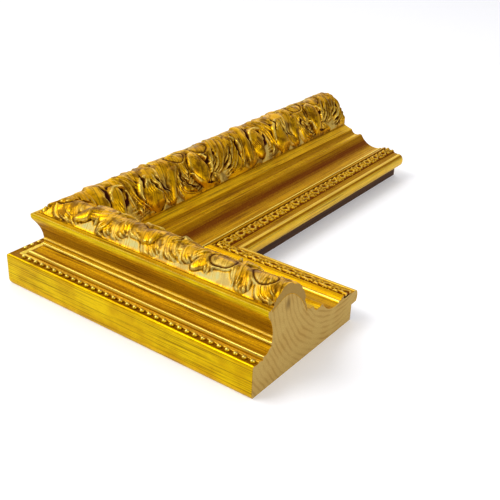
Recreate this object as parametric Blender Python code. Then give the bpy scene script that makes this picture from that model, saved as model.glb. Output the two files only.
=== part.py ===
"""Gilded picture frame corner: two mitred ornate mouldings with cast leaf crests.

Run with: blender --background --python part.py
Units are metres. The frame corner lies on its flat back, face up (+Z). The short front rail
runs along +X and the long back rail along +Y, both away from the mitred corner. The origin is
the middle of the footprint, at the height of the back.

Cross sections use (u, z): u runs inward from the outer face, z up from the back.
Crest places use (w, y): w runs round the frame past the mitre, positive on the back rail and
negative on the front rail, and y runs over the arch from its outer foot to its inner foot.
"""

import math

import bmesh
import bpy
import numpy as np
from mathutils import Matrix

MM = 0.001

# Driving dimensions
FRONT_LENGTH = 194 * MM
BACK_LENGTH = 334 * MM
PROFILE_WIDTH = 110 * MM
RABBET_WIDTH = 6.6 * MM
RABBET_DEPTH = 11 * MM
PIECE_GAP = 0.3 * MM

# Bead row near the outer face
BEAD_RADIUS = 1.85 * MM
BEAD_LINE_U = 3.6 * MM
BEAD_LINE_Z = 21.4 * MM
BEAD_PITCH = 5.585 * MM
BEAD_FIRST = 12.3 * MM
BEAD_SIDES = 6
LUMP_RINGS = 3

# Lace band beside the sight edge
LACE_LINE_U = 96.9 * MM
LACE_LINE_Z = 21.3 * MM
LACE_PITCH = 13.4 * MM
LACE_FIRST = 112.6 * MM
LACE_SCROLL = (4.1 * MM, 3.5 * MM, 1.8 * MM)
LACE_BUD = (1.9 * MM, 2.7 * MM, 1.4 * MM)
LACE_BUD_SHIFT = -LACE_PITCH / 2
LACE_END_MARGIN = 3 * MM
SCROLL_SIDES = 8
BUD_SIDES = 6

# Crest: an arch of wood under a cast layer, thickest at the crown
ARCH_FOOT = (15.5, 49.4)
ARCH_CROWN = (29.7, 57.1)
ARCH_HEEL = (50.6, 33.3)
LAYER_EDGE = 2.0
LAYER_SWELL = 3.6
CREST_CELL = 3.5 * MM
CREST_ROWS = 16
CREST_MARGIN = 6 * MM
CREST_FLOOR = 24 * MM
ENVELOPE_TOP = 90

# Relief of the leaf ornament, in mm
REPEAT = 152.5
RELIEF_FADE = 4.5
RUN_OUT = (1.6, 1.2)
CROWN_Y = 19.5
CROWN_SPREAD = 5.0
CROWN_EASE = 0.5
CUT_DEPTH = 0.9
SOFTENING = 1.1

# Finishes: sRGB colour, metallic, roughness
FINISHES = {
    "gilded pine": ((0.78, 0.56, 0.12), 0.85, 0.38),
    "gilded composition": ((0.80, 0.58, 0.14), 0.85, 0.34),
}


def linear(colour):
    """sRGB values as the linear values that a shader socket takes."""
    return [c / 12.92 if c <= 0.04045 else ((c + 0.055) / 1.055) ** 2.4 for c in colour]


def finish(name):
    """The Principled material of that name, made once."""
    if name in bpy.data.materials:
        return bpy.data.materials[name]
    colour, metallic, roughness = FINISHES[name]
    material = bpy.data.materials.new(name)
    material.use_nodes = True
    shader = material.node_tree.nodes["Principled BSDF"]
    shader.inputs["Base Color"].default_value = (*linear(colour), 1.0)
    shader.inputs["Metallic"].default_value = metallic
    shader.inputs["Roughness"].default_value = roughness
    return material


def bend(start, end, sag, steps):
    """Points after start, up to end, on an arc that bulges by sag to the left of the way."""
    (u0, z0), (u1, z1) = start, end
    chord = math.hypot(u1 - u0, z1 - z0)
    radius = (chord * chord / 4 + sag * sag) / (2 * abs(sag))
    half_angle = math.asin(chord / 2 / radius)
    along = ((u1 - u0) / chord, (z1 - z0) / chord)
    left = (-along[1], along[0])
    side = math.copysign(1.0, sag)
    points = []
    for step in range(1, steps + 1):
        angle = half_angle * (2 * step / steps - 1)
        run = chord / 2 + radius * math.sin(angle)
        rise = side * radius * (math.cos(angle) - math.cos(half_angle))
        u = u0 + along[0] * run + left[0] * rise
        z = z0 + along[1] * run + left[1] * rise
        points.append((u, z))
    return points


def bezier(a, b, c, d, t):
    """The point at t on a cubic curve with the control points a, b, c and d."""
    s = 1 - t
    shares = (s**3, 3 * s * s * t, 3 * s * t * t, t**3)
    return tuple(sum(share * point[i] for share, point in zip(shares, (a, b, c, d))) for i in (0, 1))


def arch_line(count):
    """Points evenly spaced over the arch from its outer foot to its inner foot, in mm."""
    outer = (ARCH_FOOT, (20.5, 52.9), (25.0, 57.1), ARCH_CROWN)
    inner = (ARCH_CROWN, (37.5, 57.1), (45.6, 45.5), ARCH_HEEL)
    fine = 60
    dense = [bezier(*outer, i / fine) for i in range(fine)]
    dense += [bezier(*inner, i / fine) for i in range(fine + 1)]
    dense = np.array(dense)
    lengths = np.concatenate([[0.0], np.cumsum(np.hypot(*np.diff(dense, axis=0).T))])
    wanted = np.linspace(0.0, lengths[-1], count)
    us = np.interp(wanted, lengths, dense[:, 0])
    zs = np.interp(wanted, lengths, dense[:, 1])
    return np.stack([us, zs], 1)


ARCH = arch_line(81)
ARCH_LENGTH = float(np.sum(np.hypot(*np.diff(ARCH, axis=0).T)))


def core_height(u):
    """Height in mm of the underside of the cast layer at u."""
    ground = float(np.interp(u, ARCH[:, 0], ARCH[:, 1]))
    across = (u - ARCH_FOOT[0]) / (ARCH_HEEL[0] - ARCH_FOOT[0])
    return ground - LAYER_EDGE - LAYER_SWELL * math.sin(math.pi * min(max(across, 0.0), 1.0))


def core_line(first, last, drop, steps):
    """Points of the wooden arch from u first to u last, lowered by drop, in mm."""
    us = np.linspace(first, last, steps + 1)
    return [(float(u), core_height(u) - drop) for u in us]


def moulding_outline():
    """The rail's cross section in mm, from the back's outer edge round to the rabbet."""
    gap = PIECE_GAP / MM
    width = PROFILE_WIDTH / MM
    wall = width - RABBET_WIDTH / MM
    shelf = RABBET_DEPTH / MM
    points = [(1.1, 0.0)]
    points += bend(points[-1], (0.0, 3.3), 0.3, 2)
    points += [(0.0, 19.6)]
    points += bend(points[-1], (1.4, 21.2), 0.45, 3)
    points += [(1.75, 20.75), (5.45, 20.75), (5.9, 21.3)]
    points += [(8.6, 20.7), (8.8, 20.4), (9.6, 22.4), (10.1, 22.6)]
    points += bend(points[-1], (13.4, 23.6), -0.25, 3)
    points += bend(points[-1], (17.2, 26.0), 0.35, 3)
    points += bend(points[-1], (17.0, 27.9), 0.95, 4)
    points += [(16.9, 31.2), (16.2, 31.5), (16.9, 32.0)]
    points += bend(points[-1], (12.7, 44.6), -1.0, 6)
    points += bend(points[-1], (12.0, 48.4), 0.35, 3)
    points += [(12.3, 48.8), (13.2, 48.8), (13.5, 48.4), (13.9, 49.2), ARCH_FOOT]
    points += core_line(ARCH_FOOT[0], ARCH_HEEL[0], gap, 12)
    points += [ARCH_HEEL]
    points += bend(points[-1], (58.1, 30.8), -0.3, 3)
    points += bend(points[-1], (61.6, 27.3), -0.7, 3)
    points += [(65.0, 27.4)]
    points += bend(points[-1], (68.4, 27.7), 0.75, 4)
    points += bend(points[-1], (86.2, 20.0), -3.0, 8)
    points += [(87.1, 20.8), (88.3, 20.9), (88.6, 20.4)]
    points += bend(points[-1], (92.3, 22.6), 0.25, 2)
    points += [(92.9, 21.8), (101.1, 21.0), (101.5, 20.2), (105.0, 19.6), (105.5, 19.9), (107.8, 19.4)]
    points += [(108.6, 18.6), (width, 18.0)]
    points += [(width, 11.7), (109.3, shelf), (wall, shelf), (wall, 0.0)]
    return points


def envelope_outline():
    """The space that the cast layer fills, in mm, open upward beyond any leaf."""
    gap = PIECE_GAP / MM
    first = ARCH_FOOT[0] + gap
    last = ARCH_HEEL[0] - gap
    return core_line(first, last, 0.0, 12) + [(last, ENVELOPE_TOP), (first, ENVELOPE_TOP)]


def along_spine(x, y, start, end, bow, steps=12):
    """Fraction along, and signed distance from, a bowed centre line for each place (x, y)."""
    start = np.array(start, float)
    end = np.array(end, float)
    run = end - start
    side = np.array([-run[1], run[0]]) / math.hypot(*run)
    middle = (start + end) / 2 + 2 * bow * side
    t = np.linspace(0.0, 1.0, steps + 1)[:, None]
    line = (1 - t) ** 2 * start + 2 * t * (1 - t) * middle + t**2 * end
    nearest = np.full(x.shape, np.inf)
    fraction = np.zeros(x.shape)
    offset = np.zeros(x.shape)
    for step in range(steps):
        (ax, ay), (bx, by) = line[step], line[step + 1]
        length_squared = (bx - ax) ** 2 + (by - ay) ** 2
        part = ((x - ax) * (bx - ax) + (y - ay) * (by - ay)) / length_squared
        # The first and last stretches run on past the ends
        lowest = -9.0 if step == 0 else 0.0
        highest = 9.0 if step == steps - 1 else 1.0
        part = np.clip(part, lowest, highest)
        dx = x - ax - part * (bx - ax)
        dy = y - ay - part * (by - ay)
        distance = np.hypot(dx, dy)
        closer = distance < nearest
        turn = np.sign((bx - ax) * dy - (by - ay) * dx)
        nearest = np.where(closer, distance, nearest)
        fraction = np.where(closer, (step + part) / steps, fraction)
        offset = np.where(closer, distance * turn, offset)
    return fraction, offset


def dome(q):
    """A round profile: 1 in the middle, 0 where q reaches 1."""
    return np.sqrt(np.clip(1 - q * q, 0.0, 1.0))


def leaf(x, y, root, tip, bow, width, rise):
    """A leaf that springs low from its root, swells, and turns up its rounded tip."""
    t, d = along_spine(x, y, root, tip, bow)
    inside = np.clip(t, 0.0, 1.0)
    half = width / 2 * (0.30 + 0.70 * np.sin(math.pi * (0.06 + 0.74 * inside)) ** 1.2)
    v = d / half
    reach = 1.0 - 0.24 * v * v
    ending = dome(np.clip((t - reach + 0.12) / 0.12, 0.0, 1.0))
    starting = np.clip((t + 0.04) / 0.14, 0.0, 1.0)
    lift = 0.45 + 0.12 * np.cos(2 * math.pi * (inside - 0.15)) + 0.41 * inside**2
    return rise * lift * dome(v) ** 0.55 * ending * starting


def band(x, y, start, end, bow, width, rise):
    """A smooth stem or rolled leaf edge, pointed at both ends."""
    t, d = along_spine(x, y, start, end, bow)
    inside = np.clip(t, 0.0, 1.0)
    half = width / 2 * (0.25 + 0.75 * np.sin(math.pi * inside) ** 0.6)
    ends = dome(np.clip((np.abs(t - 0.5) * 2 - 0.86) / 0.14, 0.0, 1.0))
    return rise * dome(d / half) ** 0.8 * ends


def hood(x, y, start, end, bow, width, rise):
    """A leaf seen from its back: a broad dome, steeper on one side."""
    t, d = along_spine(x, y, start, end, bow)
    half = width / 2 * dome(np.clip(np.abs(t - 0.5) / 0.60, 0.0, 0.999))
    v = d / half
    ends = np.clip((0.60 - np.abs(t - 0.5)) / 0.04, 0.0, 1.0)
    return rise * dome(v) ** 0.7 * (1 - 0.14 * v) * ends


def scroll(x, y, centre, radii, rim, rise):
    """A leaf rolled up: an oval rim round a hollow with a low button in it."""
    reach = np.hypot((x - centre[0]) / radii[0], (y - centre[1]) / radii[1])
    wall = dome((reach - 0.86) * min(radii) / rim)
    button = 0.6 * dome(reach / 0.4)
    return rise * np.maximum(wall, button)


def cut(x, y, start, end, bow, width):
    """How far a deep cut is open at each place, from 0 to 1."""
    t, d = along_spine(x, y, start, end, bow, 6)
    half = width / 2 * (0.3 + 0.7 * np.sin(math.pi * np.clip(t, 0.0, 1.0)))
    outside = np.clip(np.abs(t - 0.5) * 2 - 0.8, 0.0, 9.0) / 0.3
    return np.clip(1.25 * (1 - (d / half) ** 2 - outside**2), 0.0, 1.0)


# One repeat of the ornament, in mm (w, y)
# Leaves: root, tip, bow, width, rise
LEAVES = (
    # long low leaves that run beneath the others
    ((150, 24), (122, 46), -4, 20, 1.9),
    ((104, 24), (66, 42), -5, 22, 1.9),
    ((206, 28), (162, 46), -5, 22, 1.9),
    ((60, 30), (38, 48), -3, 16, 2.0),
    ((200, 12), (168, 17), 4, 12, 1.8),
    ((84, 14), (52, 18), 4, 12, 1.8),
    # over the inner flank
    ((64, 9), (84, 48), -3, 19, 4.4),
    ((88, 22), (75, 48), 3, 12, 3.8),
    ((106, 11), (84, 28), 4, 16, 3.8),
    ((121, 15), (128, 40), 3, 13, 4.2),
    ((114, 32), (131, 48), 4, 13, 4.0),
    ((172, 9), (149, 39), -4, 18, 4.6),
    ((193, 10), (164, 47), -6, 26, 5.0),
    ((174, 35), (190, 48), 4, 13, 4.0),
    ((58, 36), (46, 48), 3, 12, 3.6),
    ((96, 36), (103, 48), -2, 10, 3.4),
    ((150, 38), (157, 48), 2, 10, 3.2),
    ((49, 12), (41, 36), 2, 11, 3.6),
    # over the outer flank
    ((122, 21), (113, 6), 4, 15, 3.8),
    ((104, 20), (99, 1), -3, 13, 3.9),
    ((94, 21), (89, 1), -3, 14, 4.1),
    ((83, 19), (77, 1), 3, 13, 3.9),
    ((73, 18), (66, 2), 4, 12, 3.7),
    ((196, 18), (198, 5), 3, 11, 3.6),
    ((186, 19), (178, 2), 4, 15, 4.0),
    ((145, 20), (140, 2), -2, 11, 3.8),
    ((61, 19), (56, 7), 3, 10, 3.4),
)
# Smooth stems and rolled edges: start, end, bow, width, rise
BANDS = (
    ((203, 7), (194, 49), -3, 13, 3.4),
    ((119, 23), (106, 47), 4, 8, 2.4),
    ((131, 34), (155, 47), 6, 4.5, 3.6),
    ((109, 4), (103, 16), 3, 8, 3.2),
    ((168, 5), (164, 17), 3, 10, 2.8),
    ((53, 7), (50, 20), -2, 10, 3.0),
    ((93, 22), (79, 38), 5, 4.5, 4.0),
    ((51, 30), (68, 25), -5, 3.5, 4.2),
    ((147, 24), (146, 38), -5, 3.5, 3.8),
    ((184, 20), (187, 34), -3, 3.5, 4.2),
)
# Hooded leaves: start, end, bow, width, rise
HOODS = (
    ((60, 22), (57, 43), 2, 14, 3.4),
    ((99, 20), (88, 46), 4, 19, 3.8),
    ((138, 22), (139, 41), -2, 16, 3.4),
)
# Scrolls: centre, radii, rim, rise
SCROLLS = (
    ((155, 16), (9.5, 8.0), 2.6, 3.6),
    ((127, 16), (9.5, 8.0), 2.6, 3.6),
)
# Deep cuts: start, end, bow, width
CUTS = (
    ((55, 15), (48, 35), -1, 4.4),
    ((69, 28), (61, 40), -1, 7.4),
    ((88, 19), (84, 30), -1, 4.4),
    ((98, 24), (104, 39), 3, 5.4),
    ((93, 26), (97, 38), 2, 3.0),
    ((131, 24), (128, 38), 0, 2.8),
    ((121, 26), (118, 38), 0, 3.4),
    ((155, 23), (147, 35), 0, 4.0),
    ((189, 18), (188, 42), 2, 3.6),
    ((133, 45), (123, 39), 0, 3.0),
    ((163, 22), (160, 32), 1, 2.6),
    ((178, 24), (170, 42), -2, 2.2),
)
FORMS = ((leaf, LEAVES), (band, BANDS), (hood, HOODS), (scroll, SCROLLS))


def relief_height(w, y):
    """Height in mm of the carving over the arch at each place (w, y), both in mm."""
    height = np.zeros(w.shape)
    opened = np.zeros(w.shape)
    first = math.floor(w.min() / REPEAT) - 2
    last = math.ceil(w.max() / REPEAT) + 1
    for turn in range(first, last + 1):
        x = w - turn * REPEAT
        for form, table in FORMS:
            for sizes in table:
                height = np.maximum(height, form(x, y, *sizes))
        for start, end, bow, width in CUTS:
            opened = np.maximum(opened, cut(x, y, start, end, bow, width))
    crown = np.exp(-(((y - CROWN_Y) / CROWN_SPREAD) ** 2))
    height = height * (1 - CUT_DEPTH * opened) * (1 - CROWN_EASE * crown)
    outer, inner = RUN_OUT
    return height * np.clip(y / outer, 0.0, 1.0) * np.clip((ARCH_LENGTH - y) / inner, 0.0, 1.0)


def soft_relief(w, y):
    """The carving's height with its steps eased, for a surface with few faces."""
    shifts = [(a, b) for a in (-SOFTENING, 0, SOFTENING) for b in (-SOFTENING, 0, SOFTENING)]
    inside = (y > 0.01) & (y < ARCH_LENGTH - 0.01)
    return sum(relief_height(w + a, y + b) for a, b in shifts) / len(shifts) * inside


def new_object(name, mesh, collection, material=None):
    """An object for that mesh, in that collection."""
    item = bpy.data.objects.new(name, mesh)
    collection.objects.link(item)
    if material:
        mesh.materials.append(finish(material))
    return item


def mesh_from(bm, name):
    """The mesh of a finished bmesh, with its faces turned outward."""
    bmesh.ops.recalc_face_normals(bm, faces=bm.faces)
    mesh = bpy.data.meshes.new(name)
    bm.to_mesh(mesh)
    bm.free()
    return mesh


def mitred_prism(name, outline, length):
    """A closed outline (u, z) in mm run along a rail from the mitre to its sawn end.

    The mesh has x along the rail, y = u across it and z up, with the mitred corner at the origin.
    """
    curve = bpy.data.curves.new(name, "CURVE")
    curve.dimensions = "2D"
    curve.fill_mode = "BOTH"
    curve.extrude = 0.5
    spline = curve.splines.new("POLY")
    spline.points.add(len(outline) - 1)
    spline.use_cyclic_u = True
    for point, (u, z) in zip(spline.points, outline):
        point.co = (u * MM, z * MM, 0.0, 1.0)
    sketch = bpy.data.objects.new(name, curve)
    bpy.context.scene.collection.objects.link(sketch)
    bpy.context.view_layer.update()
    evaluated = sketch.evaluated_get(bpy.context.evaluated_depsgraph_get())
    mesh = bpy.data.meshes.new_from_object(evaluated)
    bm = bmesh.new()
    bm.from_mesh(mesh)
    bpy.data.meshes.remove(mesh)
    bpy.data.objects.remove(sketch)
    bmesh.ops.remove_doubles(bm, verts=bm.verts, dist=0.00001)
    for vert in bm.verts:
        u, z, at_mitre = vert.co.x, vert.co.y, vert.co.z < 0
        s = u + PIECE_GAP / math.sqrt(2) if at_mitre else length
        vert.co = (s, u, z)
    return mesh_from(bm, name)


def ellipsoids(name, places, sides, rings):
    """One mesh of separate low ellipsoids, each given by its centre and half sizes."""
    bm = bmesh.new()
    for centre, sizes in places:
        shape = Matrix.Translation(centre) @ Matrix.Diagonal((*sizes, 1.0))
        bmesh.ops.create_uvsphere(bm, u_segments=sides, v_segments=rings, radius=1.0, matrix=shape)
    return mesh_from(bm, name)


def bead_places(length):
    """Every bead of a rail's bead row, from the mitre to the sawn end."""
    count = int((length - BEAD_FIRST - BEAD_RADIUS) / BEAD_PITCH) + 1
    sizes = (BEAD_RADIUS,) * 3
    return [((BEAD_FIRST + i * BEAD_PITCH, BEAD_LINE_U, BEAD_LINE_Z), sizes) for i in range(count)]


def lace_places(length, shift, sizes):
    """One kind of lump of a rail's lace band, once in every pitch."""
    reach = length - LACE_END_MARGIN - sizes[0]
    places = []
    s = LACE_FIRST + shift
    while s < reach:
        places.append(((s, LACE_LINE_U, LACE_LINE_Z), sizes))
        s += LACE_PITCH
    return places


def crest_block(name, length, direction):
    """The carved top of a crest on a straight-sided block, longer than the rail at both ends.

    direction is 1 on the back rail and -1 on the front rail, the way that w runs there.
    """
    columns = round((length + CREST_MARGIN) / CREST_CELL)
    bm = bmesh.new()
    bmesh.ops.create_grid(bm, x_segments=columns, y_segments=CREST_ROWS, size=0.5)
    verts = list(bm.verts)
    share = np.array([vert.co.x + 0.5 for vert in verts])
    across = np.array([vert.co.y + 0.5 for vert in verts])
    spots = np.linspace(0.0, 1.0, len(ARCH))
    u = np.interp(across, spots, ARCH[:, 0])
    z = np.interp(across, spots, ARCH[:, 1])
    slope_u = np.interp(across, spots, np.gradient(ARCH[:, 0]))
    slope_z = np.interp(across, spots, np.gradient(ARCH[:, 1]))
    steep = np.hypot(slope_u, slope_z)
    margin = CREST_MARGIN / MM
    end = length / MM
    s = (u - margin) * (1 - share) + (end + margin) * share
    outside = np.maximum(u - s, s - end)
    fade = np.clip((margin - outside) / (margin - RELIEF_FADE), 0.0, 1.0)
    height = soft_relief(direction * s, across * ARCH_LENGTH) * fade
    u = u - height * slope_z / steep
    z = z + height * slope_u / steep
    for vert, place in zip(verts, np.stack([s, u, z], 1) * MM):
        vert.co = place
    rim = [edge for edge in bm.edges if edge.is_boundary]
    grown = bmesh.ops.extrude_edge_only(bm, edges=rim)["geom"]
    for vert in grown:
        if isinstance(vert, bmesh.types.BMVert):
            vert.co.z = CREST_FLOOR
    bottom = [edge for edge in grown if isinstance(edge, bmesh.types.BMEdge)]
    bmesh.ops.edgeloop_fill(bm, edges=bottom)
    return mesh_from(bm, name)


def combine(item, tool, operation):
    """Join, cut or intersect an object with another, exactly."""
    step = item.modifiers.new(f"{operation.lower()} {tool.name}", "BOOLEAN")
    step.operation = operation
    step.solver = "EXACT"
    step.object = tool


def as_guide(item):
    """Mark an object that only shapes others."""
    item.hide_render = True
    item.display_type = "WIRE"


def along_rail(direction):
    """The placing of a rail's own mesh: mirrored across the mitre for the back rail."""
    shift = Matrix.Translation((-FRONT_LENGTH / 2, -BACK_LENGTH / 2, 0.0))
    if direction < 0:
        return shift
    swap = Matrix(((0, 1, 0, 0), (1, 0, 0, 0), (0, 0, 1, 0), (0, 0, 0, 1)))
    return shift @ swap


def place(mesh, direction):
    """Move a rail's own mesh to its place in the corner."""
    mesh.transform(along_rail(direction))
    if direction > 0:
        mesh.flip_normals()


def rail(side, length, direction, parts, guides):
    """One mitred moulding of gilded pine, with its bead row and lace band."""
    body = mitred_prism(f"{side}_rail", moulding_outline(), length)
    beads = ellipsoids(f"{side} beads", bead_places(length), BEAD_SIDES, LUMP_RINGS)
    scroll_places = lace_places(length, 0.0, LACE_SCROLL)
    bud_places = lace_places(length, LACE_BUD_SHIFT, LACE_BUD)
    scrolls = ellipsoids(f"{side} lace scrolls", scroll_places, SCROLL_SIDES, LUMP_RINGS)
    buds = ellipsoids(f"{side} lace buds", bud_places, BUD_SIDES, LUMP_RINGS)
    item = new_object(f"{side}_rail", body, parts, "gilded pine")
    place(body, direction)
    for mesh in (beads, scrolls, buds):
        place(mesh, direction)
        tool = new_object(mesh.name, mesh, guides)
        as_guide(tool)
        combine(item, tool, "UNION")
    return item


def crest(side, length, direction, parts, guides):
    """One length of cast leaf ornament, lying over the rail's wooden arch."""
    block = crest_block(f"{side}_crest", length, direction)
    space = mitred_prism(f"{side} crest space", envelope_outline(), length)
    place(block, direction)
    place(space, direction)
    item = new_object(f"{side}_crest", block, parts, "gilded composition")
    tool = new_object(space.name, space, guides)
    as_guide(tool)
    combine(item, tool, "INTERSECT")
    return item


def build():
    """The whole frame corner."""
    for item in list(bpy.data.objects):
        bpy.data.objects.remove(item)
    parts = bpy.data.collections.new("picture frame corner")
    guides = bpy.data.collections.new("cutters")
    for collection in (parts, guides):
        bpy.context.scene.collection.children.link(collection)
    for side, length, direction in (("front", FRONT_LENGTH, -1), ("back", BACK_LENGTH, 1)):
        rail(side, length, direction, parts, guides)
        crest(side, length, direction, parts, guides)


build()
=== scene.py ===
"""Looks of the gilded picture frame corner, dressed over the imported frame.

Units are metres. The short front rail runs along +X and the long back rail along +Y, both away
from the mitred corner. Cross sections use (u, z) in mm: u runs inward from the outer face, z up
from the back. Crest places use (w, y) in mm: w runs round the frame past the mitre, positive on
the back rail and negative on the front rail, and y runs over the arch, outer foot to inner foot.
"""

import math
import bmesh
import bpy
import numpy as np
from mathutils import Matrix, Vector


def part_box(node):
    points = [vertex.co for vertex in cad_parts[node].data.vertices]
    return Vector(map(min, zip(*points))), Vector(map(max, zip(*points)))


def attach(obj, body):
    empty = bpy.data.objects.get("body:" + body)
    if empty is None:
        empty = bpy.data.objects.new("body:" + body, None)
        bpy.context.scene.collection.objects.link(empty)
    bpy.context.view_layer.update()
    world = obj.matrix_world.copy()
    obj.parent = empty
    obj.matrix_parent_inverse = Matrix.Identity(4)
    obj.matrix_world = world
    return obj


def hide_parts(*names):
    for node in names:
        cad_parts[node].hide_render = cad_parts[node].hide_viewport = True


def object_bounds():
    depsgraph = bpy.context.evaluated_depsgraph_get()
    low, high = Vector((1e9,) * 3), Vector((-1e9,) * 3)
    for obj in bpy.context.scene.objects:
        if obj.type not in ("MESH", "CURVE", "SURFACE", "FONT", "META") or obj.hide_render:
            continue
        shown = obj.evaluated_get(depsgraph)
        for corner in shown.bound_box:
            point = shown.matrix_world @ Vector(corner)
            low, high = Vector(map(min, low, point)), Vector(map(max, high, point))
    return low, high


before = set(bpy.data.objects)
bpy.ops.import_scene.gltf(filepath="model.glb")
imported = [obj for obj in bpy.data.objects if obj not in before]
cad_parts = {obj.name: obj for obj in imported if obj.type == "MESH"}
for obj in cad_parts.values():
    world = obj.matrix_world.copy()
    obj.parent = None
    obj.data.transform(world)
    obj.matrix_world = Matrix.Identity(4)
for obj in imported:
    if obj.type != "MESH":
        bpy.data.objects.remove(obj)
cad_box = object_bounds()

MM = 0.001

# The rails, with the way that w runs on each
RAILS = {"front": -1, "back": 1}
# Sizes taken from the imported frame
CORNER = (cad_box[0][0], cad_box[0][1])
LENGTHS = {"front": cad_box[1][0] - cad_box[0][0], "back": cad_box[1][1] - cad_box[0][1]}
PROFILE_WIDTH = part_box("front_rail")[1][1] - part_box("front_rail")[0][1]

# Rabbet, the round of the sight lip over it, and the gap between the pieces
RABBET_WIDTH = 6.6 * MM
RABBET_DEPTH = 11 * MM
LIP_ROUND = 1.5 * MM
PIECE_GAP = 0.3 * MM

# Material slots: gilded faces, sawn end, bare back and rabbet, rim of the sawn end
SHOW, SAWN, BARE, RIM = range(4)
# Places closer than this count as the same
TOUCH = 0.1 * MM
# Edges sharper than this, in degrees, stay crisp
CRISP_MOULDING = 28
CRISP_CARVING = 60

# Bead row, in mm: line (u, z) through the beads' middles, pitch, first bead from the corner
BEAD_RADIUS = 1.6
BEAD_FACETS = (16, 10)
BEAD_LINE = (3.9, 21.2)
BEAD_PITCH = 5.585
BEAD_FIRST = 12.3

# Gesso and leaf as the sawn end shows them: thickness, and how high up the outer face they start
SKIN = 0.35 * MM
SKIN_FROM = 2.2 * MM

# Lace band, in mm: span in u, its sunk ground's height at both sides, lift clear of the ground
LACE_SPAN = (92.9, 101.2)
LACE_GROUND = (21.0, 20.3)
LACE_LIFT = 0.02
LACE_SWELL = 0.8
LACE_RISE = 1.25
LACE_PITCH = 13.4
LACE_FIRST = 112.6
LACE_PHASES = {"front": 0.0, "back": 6.0}
LACE_CELL = 0.34
LACE_FLOOR = 19.8
LACE_RUN_OUT = 0.35
LACE_SOFT_PASSES = 10

# Growth rings in the sawn ends: the heart's place (u, z) and the rings' spacing
HEART = (89 * MM, 60 * MM)
RING_PITCH = 3.4 * MM
RESIN_MARKS = {"front": (30.5 * MM, 45.5 * MM), "back": (66 * MM, 12 * MM)}

# Arch under the leaves, (u, z) in mm, and the cast layer's thickness over it
ARCH_FOOT = (15.5, 49.4)
ARCH_CROWN = (29.7, 57.1)
ARCH_HEEL = (50.6, 33.3)
ARCH_POINTS = 161
CORE_STEPS = 24
LAYER_EDGE = 2.0
LAYER_SWELL = 3.6
BED_GAP = 0.06

# Crest, in mm: grid cell, how far it is carved past its ends, height of its flat underside
CREST_CELL = 0.42
CREST_MARGIN = 6.0
CREST_FLOOR = 24.0
CREST_SOFT_PASSES = 18
CREST_WIDE_PASSES = 80
ENVELOPE_TOP = 90
RELIEF_FADE = 4.5
REPEAT = 152.5
# The carving runs out over these widths at its outer and inner foot
RUN_OUT = (1.6, 1.2)
# It lies lower along the top of the arch: place, half width and share taken off
CROWN_Y = 19.5
CROWN_SPREAD = 5.0
CROWN_EASE = 0.5
CUT_DEPTH = 0.9
# How many of its steps a stroke's centre line runs on past each end
PAST_END = 9.0
# How bare the ground lies between the leaves at y in mm, and how far from the mitre it starts
GROUND_Y = (0.0, 11.0, 17.0, 25.0, 32.0)
GROUND_BARE = (1.0, 1.0, 0.0, 0.0, 0.6)
GROUND_FROM_MITRE = 30
# Wander of the carved lines: reach in mm, then radians per mm along w and y
WANDER_W = ((1.3, 0.11, 0.17), (0.30, -0.42, 0.45))
WANDER_Y = ((0.8, 0.17, 0.12), (0.25, 0.53, -0.30))

# Gilder's brush lines and the scuffs over them: length and spacing
STROKE = (60 * MM, 0.9 * MM)
SCUFF = (8.16 * MM, 0.815 * MM)
# Tones of the gilding: thin wash that is also painted warm bounce light, brush lines, mottling and chalky
# ground
AMBER = "#F4B808"
STREAK = "#8E6C0A"
MOTTLE = "#845A0C"
CHALK = "#D4CA88"

# The photograph's camera: place in metres, turns in degrees, lens and sensor in mm
CAMERA_PLACE = (0.3021, -0.4662, 0.2790)
CAMERA_YAW, CAMERA_PITCH, CAMERA_ROLL = 35.084, 27.568, 2.566
CAMERA_LENS = 61.14
CAMERA_SENSOR = 36.0

# Studio: floor's half side in metres, the pale wall's direction, its edge and the room's glow
FLOOR_REACH = 3.0
WALL_WAY = (-0.60, 0.72, 0.35)
WALL_EDGE = 0.55
ROOM_GLOW = (0.38, 1.25)
# Lights: name, place in metres, size in metres, power in watts
LIGHTS = (
    ("key", (-0.95, -0.85, 1.60), 1.2, 19.0),
    ("side", (1.5, -0.2, 0.7), 0.8, 7.0),
)
LIGHT_AIM = (0.0, 0.0, 0.03)


def linear(colour, alpha=1.0):
    """An sRGB hex colour as the linear values that a shader socket takes."""
    channels = [int(colour[i : i + 2], 16) / 255 for i in (1, 3, 5)]
    return [c / 12.92 if c <= 0.04045 else ((c + 0.055) / 1.055) ** 2.4 for c in channels] + [alpha]


def add(tree, kind, settings=None, links=None, **options):
    """Add a node to a tree: settings are values for its sockets, links are sockets to join."""
    node = tree.nodes.new(kind)
    for name, value in options.items():
        setattr(node, name, value)
    for name, value in (settings or {}).items():
        node.inputs[name].default_value = value
    for name, socket in (links or {}).items():
        tree.links.new(socket, node.inputs[name])
    return node


def new_material(name):
    """An empty node material with its shader and output: (material, tree, shader)."""
    material = bpy.data.materials.new(name)
    material.use_nodes = True
    tree = material.node_tree
    tree.nodes.clear()
    shader = add(tree, "ShaderNodeBsdfPrincipled")
    add(tree, "ShaderNodeOutputMaterial", links={"Surface": shader.outputs["BSDF"]})
    return material, tree, shader


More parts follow.
